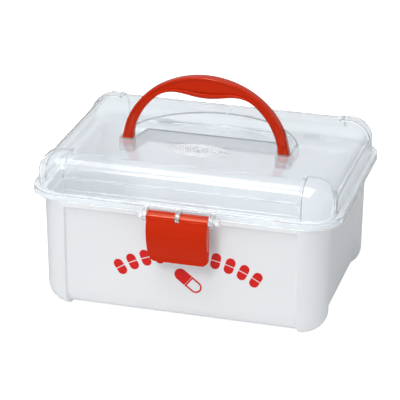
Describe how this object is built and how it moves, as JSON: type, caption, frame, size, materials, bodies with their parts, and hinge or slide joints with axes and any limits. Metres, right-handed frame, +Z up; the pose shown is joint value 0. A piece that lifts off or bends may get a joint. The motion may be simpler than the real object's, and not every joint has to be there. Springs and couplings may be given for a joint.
{
  "type": "medicine case",
  "caption": "Small plastic medicine case: a white tub with a hinged clear lid, a fold-down carrying handle sunk in the lid and a swinging front latch.",
  "frame": {"origin": "on the table, at the centre of the box round the closed case with its handle up", "axes": "+X to the right along the long side and the hinge axis, +Y to the back, the latch is on the -Y side, +Z up"},
  "size_m": [0.24, 0.1948, 0.1783],
  "materials": {
    "tub_plastic": "milky white, satin gloss",
    "clear_plastic": "clear, glossy",
    "red_plastic": "opaque red, glossy",
    "axle_plastic": "clear, glossy",
    "pin_plastic": "milky white, satin gloss"
  },
  "bodies": {
    "tub_body": {"base_tub": "tub_plastic", "hinge_pin_left": "pin_plastic", "hinge_pin_right": "pin_plastic"},
    "lid_body": {"lid": "clear_plastic", "latch_axle": "axle_plastic"},
    "handle_body": {"handle": "red_plastic"},
    "latch_body": {"latch": "red_plastic"}
  },
  "joints": [
    {"name": "lid_hinge", "type": "hinge", "parent": "tub_body", "child": "lid_body", "pos_m": [0, 0.0926, 0.0864], "axis": [-1, 0, 0], "range_deg": [0, 110]},
    {"name": "handle_fold", "type": "hinge", "parent": "lid_body", "child": "handle_body", "pos_m": [0.0026, -0.02, 0.1185], "axis": [-1, 0, 0], "range_deg": [0, 90]},
    {"name": "latch_swing", "type": "hinge", "parent": "lid_body", "child": "latch_body", "pos_m": [0.002, -0.092, 0.0924], "axis": [-1, 0, 0], "range_deg": [0, 120]}
  ]
}
